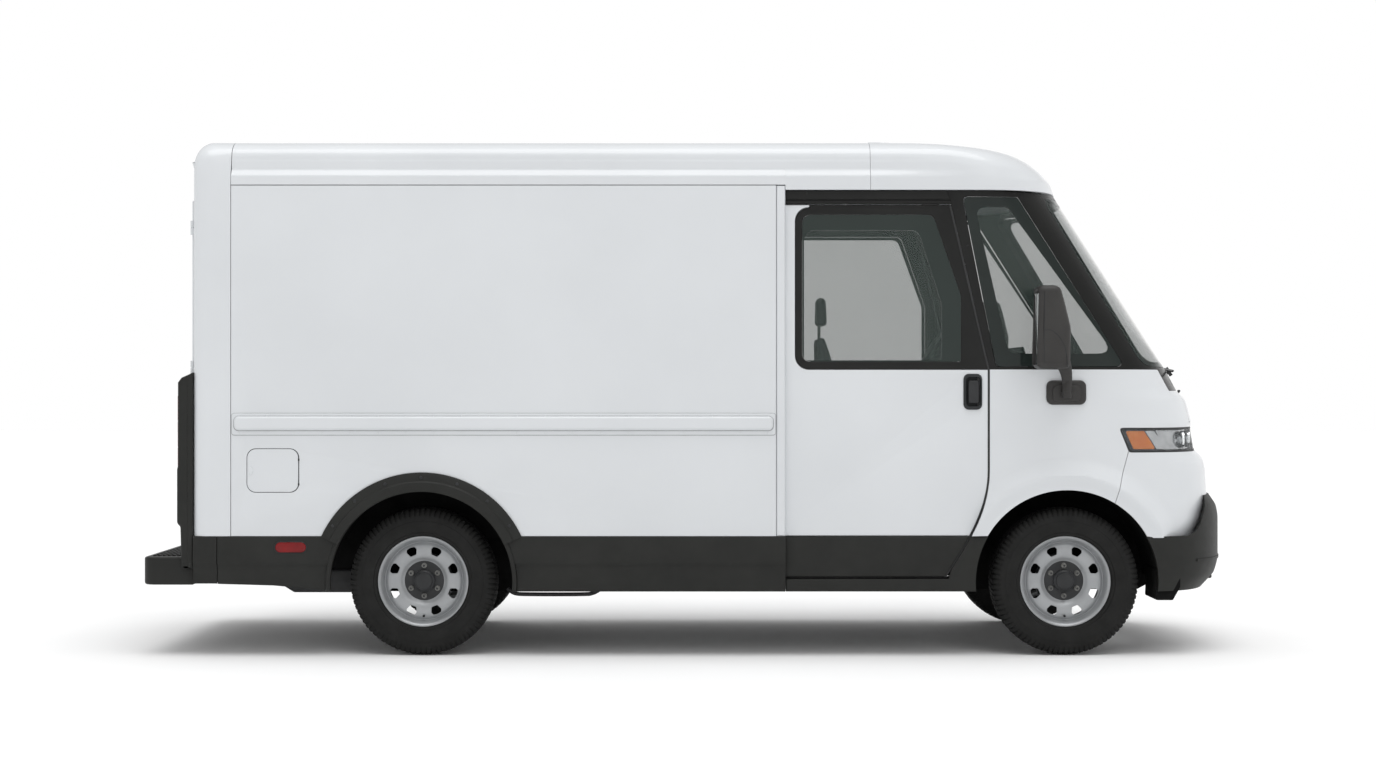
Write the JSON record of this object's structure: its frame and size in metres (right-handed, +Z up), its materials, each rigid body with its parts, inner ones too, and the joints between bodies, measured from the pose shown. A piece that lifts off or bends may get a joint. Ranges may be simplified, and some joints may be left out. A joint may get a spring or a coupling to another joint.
{
  "type": "mail delivery truck",
  "caption": "Electric mail delivery step van with sliding cab doors, hinged rear doors, a walk-through cargo body, steered front wheels and folding mirrors.",
  "frame": {"origin": "on the ground, under the centre of the bounding box", "axes": "+X forward, +Y to the vehicle's left, +Z up"},
  "size_m": [5.95, 2.68, 2.7899],
  "materials": {
    "white_paint": "gloss white paint",
    "black_cladding": "fine-grained moulded plastic",
    "chassis_black": "satin chassis paint",
    "battery_case": "satin",
    "cast_aluminium": "as cast",
    "floor_composite": "non-slip composite",
    "lining": "smooth panel",
    "window_glass": "grey-green tint",
    "lamp_glass": "clear lens",
    "red_lens": "red lens",
    "amber_lens": "amber lens",
    "cab_plastic": "soft grain",
    "tyre_rubber": "matte rubber",
    "wheel_silver": "silver wheel paint",
    "hub_black": "satin black",
    "forged_iron": "forged",
    "mirror_plastic": "fine-grained moulded plastic",
    "seat_fabric": "woven cloth"
  },
  "bodies": {
    "truck": {"chassis_frame": "chassis_black", "battery_pack": "battery_case", "drive_unit": "cast_aluminium", "suspension": "chassis_black", "floor": "floor_composite", "wheel_liners": "black_cladding", "cargo_side_right": "white_paint", "cargo_side_left": "white_paint", "cargo_roof": "white_paint", "rear_portal": "white_paint", "inner_walls": "lining", "cab_roof_cap": "white_paint", "cab_shell": "white_paint", "window_pillars": "black_cladding", "cab_glass": "window_glass", "headlamps": "lamp_glass", "front_bumper": "black_cladding", "rear_step": "black_cladding", "corner_guards": "black_cladding", "tail_lamps": "red_lens", "clearance_lamps": "amber_lens", "side_cladding": "black_cladding", "rub_rails": "white_paint", "dashboard": "cab_plastic", "mirror_bases": "black_cladding", "charge_inlet": "cab_plastic"},
    "knuckle_left": {"knuckle_left": "forged_iron"},
    "knuckle_right": {"knuckle_right": "forged_iron"},
    "wheel_fl": {"tyre_fl": "tyre_rubber", "rim_fl": "wheel_silver", "hub_fl": "hub_black"},
    "wheel_fr": {"tyre_fr": "tyre_rubber", "rim_fr": "wheel_silver", "hub_fr": "hub_black"},
    "wheel_rl": {"tyre_rl": "tyre_rubber", "rim_rl": "wheel_silver", "hub_rl": "hub_black"},
    "wheel_rr": {"tyre_rr": "tyre_rubber", "rim_rr": "wheel_silver", "hub_rr": "hub_black"},
    "door_left": {"cab_door_left": "white_paint", "door_glass_left": "window_glass"},
    "handle_left": {"door_handle_left": "cab_plastic"},
    "door_right": {"cab_door_right": "white_paint", "door_glass_right": "window_glass"},
    "handle_right": {"door_handle_right": "cab_plastic"},
    "rear_door_left": {"rear_door_left": "white_paint"},
    "rear_door_right": {"rear_door_right": "white_paint"},
    "rear_latch": {"rear_latch": "hub_black"},
    "charge_flap": {"charge_flap": "white_paint"},
    "mirror_left": {"mirror_left": "mirror_plastic"},
    "mirror_right": {"mirror_right": "mirror_plastic"},
    "wiper_left": {"wiper_left": "hub_black"},
    "wiper_right": {"wiper_right": "hub_black"},
    "hood": {"hood": "white_paint"},
    "steering_wheel": {"steering_wheel": "cab_plastic"},
    "seat_back": {"seat_back": "seat_fabric"},
    "brake_pedal": {"brake_pedal": "hub_black"},
    "accelerator_pedal": {"accelerator_pedal": "hub_black"},
    "seat": {"driver_seat": "seat_fabric"}
  },
  "joints": [
    {"name": "steer_left", "type": "hinge", "parent": "truck", "child": "knuckle_left", "pos_m": [2.02, 0.785, 0.4], "axis": [0, 0, 1], "range_deg": [-32, 32]},
    {"name": "steer_right", "type": "hinge", "parent": "truck", "child": "knuckle_right", "pos_m": [2.02, -0.785, 0.4], "axis": [0, 0, 1], "range_deg": [-32, 32]},
    {"name": "steering_wheel_turn", "type": "hinge", "parent": "truck", "child": "steering_wheel", "pos_m": [1.501, 0.43, 1.764], "axis": [-0.8192, 0, 0.5736], "range_deg": [-480, 480]},
    {"name": "wheel_spin_fl", "type": "hinge", "parent": "knuckle_left", "child": "wheel_fl", "pos_m": [2.02, 0.855, 0.4], "axis": [0, 1, 0], "continuous": true},
    {"name": "wheel_spin_fr", "type": "hinge", "parent": "knuckle_right", "child": "wheel_fr", "pos_m": [2.02, -0.855, 0.4], "axis": [0, 1, 0], "continuous": true},
    {"name": "wheel_spin_rl", "type": "hinge", "parent": "truck", "child": "wheel_rl", "pos_m": [-1.46, 0.855, 0.4], "axis": [0, 1, 0], "continuous": true},
    {"name": "wheel_spin_rr", "type": "hinge", "parent": "truck", "child": "wheel_rr", "pos_m": [-1.46, -0.855, 0.4], "axis": [0, 1, 0], "continuous": true},
    {"name": "door_slide_left", "type": "slide", "parent": "truck", "child": "door_left", "axis": [-1, 0, 0], "range_m": [0, 0.93]},
    {"name": "door_slide_right", "type": "slide", "parent": "truck", "child": "door_right", "axis": [-1, 0, 0], "range_m": [0, 0.93]},
    {"name": "door_handle_pull_left", "type": "hinge", "parent": "door_left", "child": "handle_left", "pos_m": [1.541, 0.998, 1.4], "axis": [0, 0, -1], "range_deg": [0, 25], "stiffness_Nm_per_rad": 1.5},
    {"name": "door_handle_pull_right", "type": "hinge", "parent": "door_right", "child": "handle_right", "pos_m": [1.541, -0.998, 1.4], "axis": [0, 0, 1], "range_deg": [0, 25], "stiffness_Nm_per_rad": 1.5},
    {"name": "rear_door_swing_left", "type": "hinge", "parent": "truck", "child": "rear_door_left", "pos_m": [-2.716, 0.912, 1.5], "axis": [0, 0, -1], "range_deg": [0, 90]},
    {"name": "rear_door_swing_right", "type": "hinge", "parent": "truck", "child": "rear_door_right", "pos_m": [-2.716, -0.912, 1.5], "axis": [0, 0, 1], "range_deg": [0, 90]},
    {"name": "rear_latch_turn", "type": "hinge", "parent": "rear_door_right", "child": "rear_latch", "pos_m": [-2.71, -0.07, 1.29], "axis": [1, 0, 0], "range_deg": [0, 90]},
    {"name": "charge_flap_swing", "type": "hinge", "parent": "truck", "child": "charge_flap", "pos_m": [-2.12, -1.038, 1.004], "axis": [0, 0, 1], "range_deg": [0, 110]},
    {"name": "mirror_fold_left", "type": "hinge", "parent": "truck", "child": "mirror_left", "pos_m": [2.01, 1.07, 1.45], "axis": [0, 0, 1], "range_deg": [-70, 30]},
    {"name": "mirror_fold_right", "type": "hinge", "parent": "truck", "child": "mirror_right", "pos_m": [2.01, -1.07, 1.45], "axis": [0, 0, -1], "range_deg": [-70, 30]},
    {"name": "wiper_sweep_left", "type": "hinge", "parent": "truck", "child": "wiper_left", "pos_m": [2.68364, 0.56, 1.51504], "axis": [-0.8393, -0.0314, -0.5428], "range_deg": [0, 85]},
    {"name": "wiper_sweep_right", "type": "hinge", "parent": "truck", "child": "wiper_right", "pos_m": [2.70397, -0.08, 1.52818], "axis": [-0.8377, 0.0686, -0.5418], "range_deg": [0, 85]},
    {"name": "hood_lift", "type": "hinge", "parent": "truck", "child": "hood", "pos_m": [2.743, 0, 1.431], "axis": [0, -1, 0], "range_deg": [0, 60]},
    {"name": "seat_slide", "type": "slide", "parent": "truck", "child": "seat", "axis": [1, 0, 0], "range_m": [-0.05, 0.12]},
    {"name": "seat_recline", "type": "hinge", "parent": "seat", "child": "seat_back", "pos_m": [0.852, 0.43, 1.138], "axis": [0, -1, 0], "range_deg": [-8, 6]},
    {"name": "brake_press", "type": "hinge", "parent": "truck", "child": "brake_pedal", "pos_m": [1.89, 0.38, 1.12], "axis": [0, -1, 0], "range_deg": [0, 18], "stiffness_Nm_per_rad": 40},
    {"name": "accelerator_press", "type": "hinge", "parent": "truck", "child": "accelerator_pedal", "pos_m": [1.89, 0.305, 1.12], "axis": [0, -1, 0], "range_deg": [0, 14], "stiffness_Nm_per_rad": 15}
  ],
  "couplings": [
    {"joint": "steer_right", "follows": "steer_left", "ratio": 1},
    {"joint": "steering_wheel_turn", "follows": "steer_left", "ratio": 15},
    {"joint": "wiper_sweep_right", "follows": "wiper_sweep_left", "ratio": 1}
  ]
}
